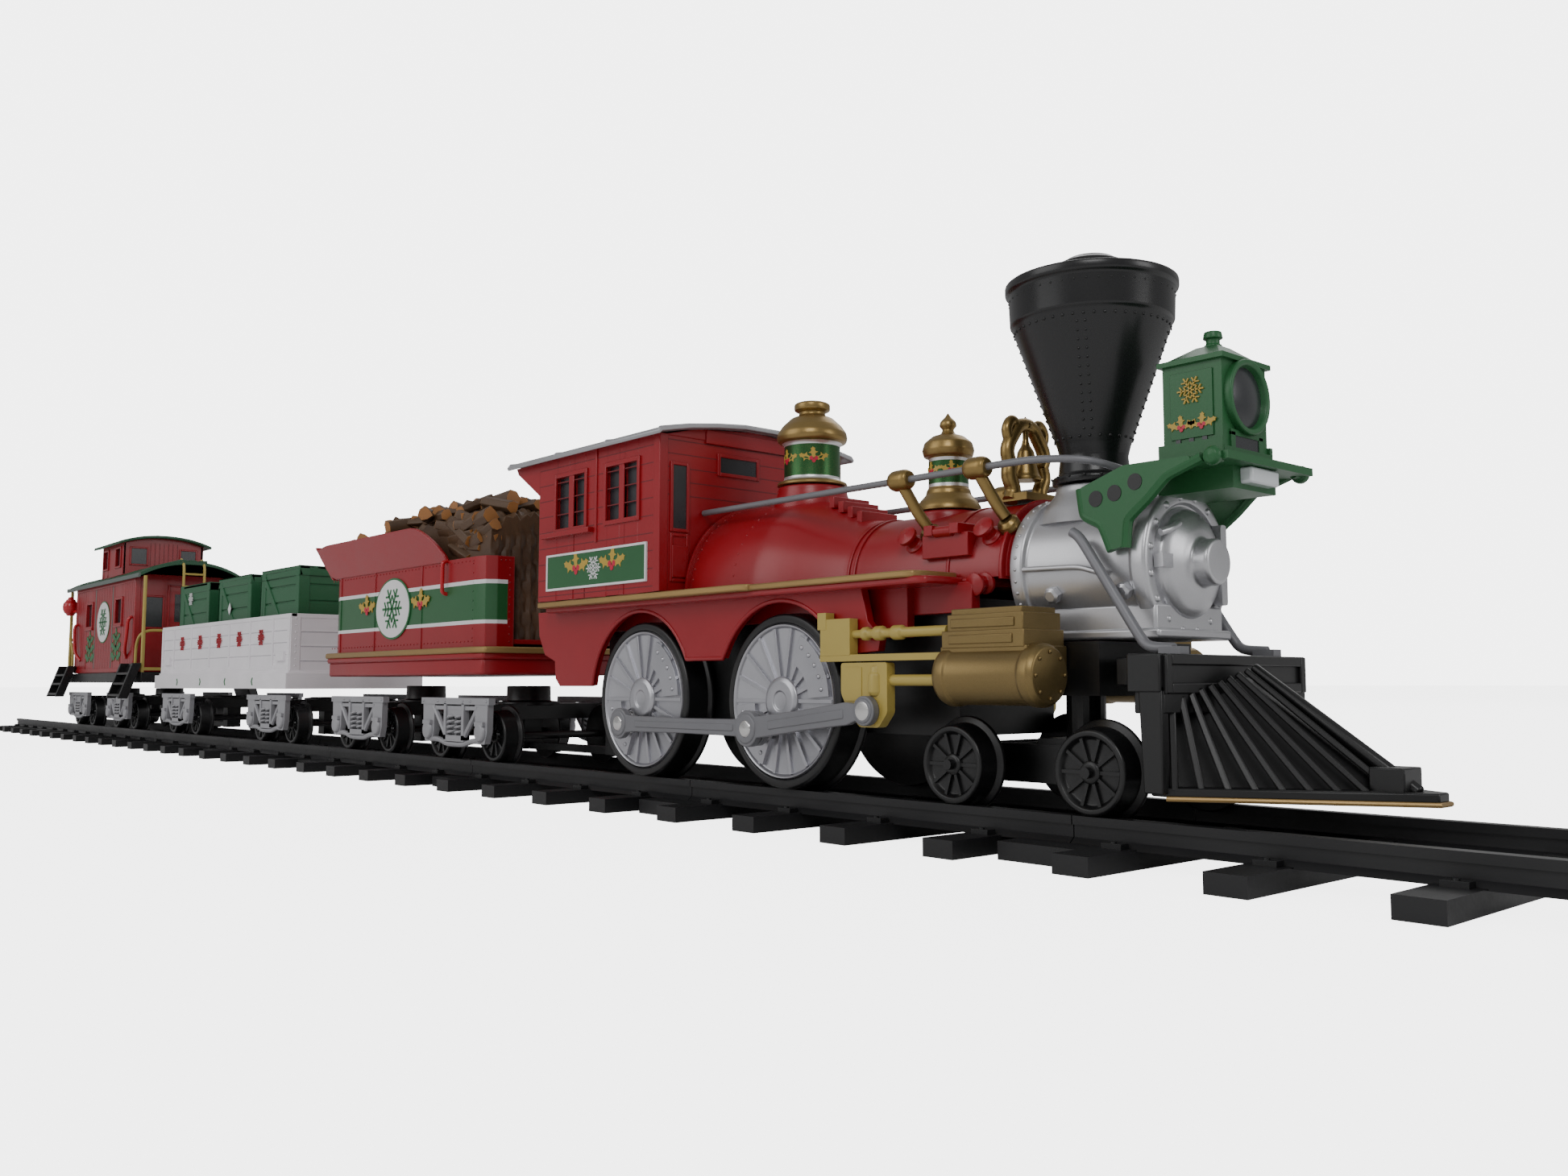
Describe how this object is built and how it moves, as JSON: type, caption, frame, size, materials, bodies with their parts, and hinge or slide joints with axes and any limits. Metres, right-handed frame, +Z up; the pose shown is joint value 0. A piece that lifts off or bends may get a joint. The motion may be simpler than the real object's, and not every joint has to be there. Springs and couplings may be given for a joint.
{
  "type": "toy train set",
  "caption": "Toy steam train on a straight track: locomotive with rods, tender with wood, open car with crates and caboose, all on turning wheels.",
  "frame": {"origin": "on the ground, midway along the track's overall length and on its centre line", "axes": "+X the way the train faces, +Y its left side, +Z up"},
  "size_m": [1.3279, 0.0904, 0.1496],
  "materials": {
    "track_black": "moulded black plastic",
    "frame_black": "moulded black plastic, satin",
    "train_red": "deep red plastic, satin",
    "train_green": "dark green paint",
    "brass_paint": "bronze-gold metallic paint",
    "gold_plastic": "mustard-gold plastic",
    "silver_paint": "silver metallic paint",
    "grey_plastic": "grey plastic",
    "wheel_silver": "silver-grey plastic with black rims",
    "cab_roof_grey": "silver-grey paint",
    "window_grey": "dark grey plastic",
    "wood_load": "brown plastic moulded as logs",
    "car_white": "off-white plastic"
  },
  "bodies": {
    "track": {"track_1": "track_black", "track_2": "track_black", "track_3": "track_black"},
    "locomotive": {"chassis": "frame_black", "boiler": "train_red", "smokebox": "silver_paint", "stack": "frame_black", "sand_dome": "brass_paint", "steam_dome": "brass_paint", "bell": "brass_paint", "headlamp": "train_green", "lamp_bracket": "train_green", "cab": "train_red", "cab_windows": "window_grey", "cab_roof": "cab_roof_grey", "handrail": "brass_paint", "pilot": "frame_black", "cylinder_right": "brass_paint", "cylinder_left": "brass_paint", "guide_right": "gold_plastic", "guide_left": "gold_plastic"},
    "driver_front": {"driver_front": "wheel_silver"},
    "driver_rear": {"driver_rear": "wheel_silver"},
    "side_rod_right": {"side_rod_right": "grey_plastic"},
    "main_rod_right": {"main_rod_right": "grey_plastic"},
    "crosshead_right": {"crosshead_right": "gold_plastic"},
    "side_rod_left": {"side_rod_left": "grey_plastic"},
    "main_rod_left": {"main_rod_left": "grey_plastic"},
    "crosshead_left": {"crosshead_left": "gold_plastic"},
    "pony_truck": {"pony_truck": "frame_black"},
    "pony_wheelset_1": {"pony_wheelset_1": "frame_black"},
    "pony_wheelset_2": {"pony_wheelset_2": "frame_black"},
    "tender": {"tender_body": "train_red", "tender_load": "wood_load"},
    "tender_truck_front": {"tender_truck_front": "frame_black"},
    "tender_truck_front_wheelset_1": {"tender_truck_front_wheelset_1": "frame_black"},
    "tender_truck_front_wheelset_2": {"tender_truck_front_wheelset_2": "frame_black"},
    "tender_truck_rear": {"tender_truck_rear": "frame_black"},
    "tender_truck_rear_wheelset_1": {"tender_truck_rear_wheelset_1": "frame_black"},
    "tender_truck_rear_wheelset_2": {"tender_truck_rear_wheelset_2": "frame_black"},
    "gondola": {"gondola_body": "car_white", "crates": "train_green"},
    "gondola_truck_front": {"gondola_truck_front": "frame_black"},
    "gondola_truck_front_wheelset_1": {"gondola_truck_front_wheelset_1": "frame_black"},
    "gondola_truck_front_wheelset_2": {"gondola_truck_front_wheelset_2": "frame_black"},
    "gondola_truck_rear": {"gondola_truck_rear": "frame_black"},
    "gondola_truck_rear_wheelset_1": {"gondola_truck_rear_wheelset_1": "frame_black"},
    "gondola_truck_rear_wheelset_2": {"gondola_truck_rear_wheelset_2": "frame_black"},
    "caboose": {"caboose_body": "train_red", "caboose_deck": "frame_black", "caboose_roof": "train_green", "cupola": "train_red", "railing_front": "gold_plastic", "railing_rear": "gold_plastic"},
    "caboose_truck_front": {"caboose_truck_front": "frame_black"},
    "caboose_truck_front_wheelset_1": {"caboose_truck_front_wheelset_1": "frame_black"},
    "caboose_truck_front_wheelset_2": {"caboose_truck_front_wheelset_2": "frame_black"},
    "caboose_truck_rear": {"caboose_truck_rear": "frame_black"},
    "caboose_truck_rear_wheelset_1": {"caboose_truck_rear_wheelset_1": "frame_black"},
    "caboose_truck_rear_wheelset_2": {"caboose_truck_rear_wheelset_2": "frame_black"}
  },
  "joints": [
    {"name": "train_travel", "type": "slide", "parent": "track", "child": "locomotive", "axis": [1, 0, 0], "range_m": [-0.15, 0.06]},
    {"name": "tender_travel", "type": "slide", "parent": "track", "child": "tender", "axis": [1, 0, 0], "range_m": [-0.15, 0.06]},
    {"name": "gondola_travel", "type": "slide", "parent": "track", "child": "gondola", "axis": [1, 0, 0], "range_m": [-0.15, 0.06]},
    {"name": "caboose_travel", "type": "slide", "parent": "track", "child": "caboose", "axis": [1, 0, 0], "range_m": [-0.15, 0.06]},
    {"name": "driver_front_roll", "type": "hinge", "parent": "locomotive", "child": "driver_front", "pos_m": [0.4198, 0, 0.03565], "axis": [0, 1, 0], "continuous": true},
    {"name": "driver_rear_roll", "type": "hinge", "parent": "locomotive", "child": "driver_rear", "pos_m": [0.3498, 0, 0.03565], "axis": [0, 1, 0], "continuous": true},
    {"name": "side_rod_right_pin", "type": "hinge", "parent": "driver_front", "child": "side_rod_right", "pos_m": [0.41271, 0, 0.02777], "axis": [0, 1, 0], "continuous": true},
    {"name": "main_rod_right_pin", "type": "hinge", "parent": "driver_front", "child": "main_rod_right", "pos_m": [0.41271, 0, 0.02777], "axis": [0, 1, 0], "continuous": true},
    {"name": "crosshead_right_slide", "type": "slide", "parent": "locomotive", "child": "crosshead_right", "axis": [1, 0, 0], "range_m": [-0.0034, 0.0176]},
    {"name": "side_rod_left_pin", "type": "hinge", "parent": "driver_front", "child": "side_rod_left", "pos_m": [0.41271, 0, 0.02777], "axis": [0, 1, 0], "continuous": true},
    {"name": "main_rod_left_pin", "type": "hinge", "parent": "driver_front", "child": "main_rod_left", "pos_m": [0.41271, 0, 0.02777], "axis": [0, 1, 0], "continuous": true},
    {"name": "crosshead_left_slide", "type": "slide", "parent": "locomotive", "child": "crosshead_left", "axis": [1, 0, 0], "range_m": [-0.0034, 0.0176]},
    {"name": "pony_truck_swivel", "type": "hinge", "parent": "locomotive", "child": "pony_truck", "pos_m": [0.5029, 0, 0.036], "axis": [0, 0, 1], "range_deg": [-1.2, 1.2]},
    {"name": "pony_wheelset_1_roll", "type": "hinge", "parent": "pony_truck", "child": "pony_wheelset_1", "pos_m": [0.4822, 0, 0.02045], "axis": [0, 1, 0], "continuous": true},
    {"name": "pony_wheelset_2_roll", "type": "hinge", "parent": "pony_truck", "child": "pony_wheelset_2", "pos_m": [0.5236, 0, 0.02045], "axis": [0, 1, 0], "continuous": true},
    {"name": "tender_truck_front_swivel", "type": "hinge", "parent": "tender", "child": "tender_truck_front", "pos_m": [0.223, 0, 0.033], "axis": [0, 0, 1], "range_deg": [-1.2, 1.2]},
    {"name": "tender_truck_front_wheelset_1_roll", "type": "hinge", "parent": "tender_truck_front", "child": "tender_truck_front_wheelset_1", "pos_m": [0.2005, 0, 0.02045], "axis": [0, 1, 0], "continuous": true},
    {"name": "tender_truck_front_wheelset_2_roll", "type": "hinge", "parent": "tender_truck_front", "child": "tender_truck_front_wheelset_2", "pos_m": [0.2455, 0, 0.02045], "axis": [0, 1, 0], "continuous": true},
    {"name": "tender_truck_rear_swivel", "type": "hinge", "parent": "tender", "child": "tender_truck_rear", "pos_m": [0.127, 0, 0.033], "axis": [0, 0, 1], "range_deg": [-1.2, 1.2]},
    {"name": "tender_truck_rear_wheelset_1_roll", "type": "hinge", "parent": "tender_truck_rear", "child": "tender_truck_rear_wheelset_1", "pos_m": [0.1045, 0, 0.02045], "axis": [0, 1, 0], "continuous": true},
    {"name": "tender_truck_rear_wheelset_2_roll", "type": "hinge", "parent": "tender_truck_rear", "child": "tender_truck_rear_wheelset_2", "pos_m": [0.1495, 0, 0.02045], "axis": [0, 1, 0], "continuous": true},
    {"name": "gondola_truck_front_swivel", "type": "hinge", "parent": "gondola", "child": "gondola_truck_front", "pos_m": [0.0095, 0, 0.033], "axis": [0, 0, 1], "range_deg": [-1.2, 1.2]},
    {"name": "gondola_truck_front_wheelset_1_roll", "type": "hinge", "parent": "gondola_truck_front", "child": "gondola_truck_front_wheelset_1", "pos_m": [-0.013, 0, 0.02045], "axis": [0, 1, 0], "continuous": true},
    {"name": "gondola_truck_front_wheelset_2_roll", "type": "hinge", "parent": "gondola_truck_front", "child": "gondola_truck_front_wheelset_2", "pos_m": [0.032, 0, 0.02045], "axis": [0, 1, 0], "continuous": true},
    {"name": "gondola_truck_rear_swivel", "type": "hinge", "parent": "gondola", "child": "gondola_truck_rear", "pos_m": [-0.1475, 0, 0.033], "axis": [0, 0, 1], "range_deg": [-1.2, 1.2]},
    {"name": "gondola_truck_rear_wheelset_1_roll", "type": "hinge", "parent": "gondola_truck_rear", "child": "gondola_truck_rear_wheelset_1", "pos_m": [-0.17, 0, 0.02045], "axis": [0, 1, 0], "continuous": true},
    {"name": "gondola_truck_rear_wheelset_2_roll", "type": "hinge", "parent": "gondola_truck_rear", "child": "gondola_truck_rear_wheelset_2", "pos_m": [-0.125, 0, 0.02045], "axis": [0, 1, 0], "continuous": true},
    {"name": "caboose_truck_front_swivel", "type": "hinge", "parent": "caboose", "child": "caboose_truck_front", "pos_m": [-0.2825, 0, 0.033], "axis": [0, 0, 1], "range_deg": [-1.2, 1.2]},
    {"name": "caboose_truck_front_wheelset_1_roll", "type": "hinge", "parent": "caboose_truck_front", "child": "caboose_truck_front_wheelset_1", "pos_m": [-0.305, 0, 0.02045], "axis": [0, 1, 0], "continuous": true},
    {"name": "caboose_truck_front_wheelset_2_roll", "type": "hinge", "parent": "caboose_truck_front", "child": "caboose_truck_front_wheelset_2", "pos_m": [-0.26, 0, 0.02045], "axis": [0, 1, 0], "continuous": true},
    {"name": "caboose_truck_rear_swivel", "type": "hinge", "parent": "caboose", "child": "caboose_truck_rear", "pos_m": [-0.3945, 0, 0.033], "axis": [0, 0, 1], "range_deg": [-1.2, 1.2]},
    {"name": "caboose_truck_rear_wheelset_1_roll", "type": "hinge", "parent": "caboose_truck_rear", "child": "caboose_truck_rear_wheelset_1", "pos_m": [-0.417, 0, 0.02045], "axis": [0, 1, 0], "continuous": true},
    {"name": "caboose_truck_rear_wheelset_2_roll", "type": "hinge", "parent": "caboose_truck_rear", "child": "caboose_truck_rear_wheelset_2", "pos_m": [-0.372, 0, 0.02045], "axis": [0, 1, 0], "continuous": true}
  ],
  "couplings": [
    {"joint": "tender_travel", "follows": "train_travel", "ratio": 1},
    {"joint": "gondola_travel", "follows": "train_travel", "ratio": 1},
    {"joint": "caboose_travel", "follows": "train_travel", "ratio": 1},
    {"joint": "driver_front_roll", "follows": "train_travel", "rad_per_m": 40.161},
    {"joint": "driver_rear_roll", "follows": "train_travel", "rad_per_m": 40.161},
    {"joint": "side_rod_right_pin", "follows": "train_travel", "rad_per_m": -40.161},
    {"joint": "main_rod_right_pin", "follows": "train_travel", "rad_per_m": -40.161},
    {"joint": "side_rod_left_pin", "follows": "train_travel", "rad_per_m": -40.161},
    {"joint": "main_rod_left_pin", "follows": "train_travel", "rad_per_m": -40.161},
    {"joint": "pony_wheelset_1_roll", "follows": "train_travel", "rad_per_m": 103.09},
    {"joint": "pony_wheelset_2_roll", "follows": "train_travel", "rad_per_m": 103.09},
    {"joint": "tender_truck_front_wheelset_1_roll", "follows": "train_travel", "rad_per_m": 103.09},
    {"joint": "tender_truck_front_wheelset_2_roll", "follows": "train_travel", "rad_per_m": 103.09},
    {"joint": "tender_truck_rear_wheelset_1_roll", "follows": "train_travel", "rad_per_m": 103.09},
    {"joint": "tender_truck_rear_wheelset_2_roll", "follows": "train_travel", "rad_per_m": 103.09},
    {"joint": "gondola_truck_front_wheelset_1_roll", "follows": "train_travel", "rad_per_m": 103.09},
    {"joint": "gondola_truck_front_wheelset_2_roll", "follows": "train_travel", "rad_per_m": 103.09},
    {"joint": "gondola_truck_rear_wheelset_1_roll", "follows": "train_travel", "rad_per_m": 103.09},
    {"joint": "gondola_truck_rear_wheelset_2_roll", "follows": "train_travel", "rad_per_m": 103.09},
    {"joint": "caboose_truck_front_wheelset_1_roll", "follows": "train_travel", "rad_per_m": 103.09},
    {"joint": "caboose_truck_front_wheelset_2_roll", "follows": "train_travel", "rad_per_m": 103.09},
    {"joint": "caboose_truck_rear_wheelset_1_roll", "follows": "train_travel", "rad_per_m": 103.09},
    {"joint": "caboose_truck_rear_wheelset_2_roll", "follows": "train_travel", "rad_per_m": 103.09}
  ]
}
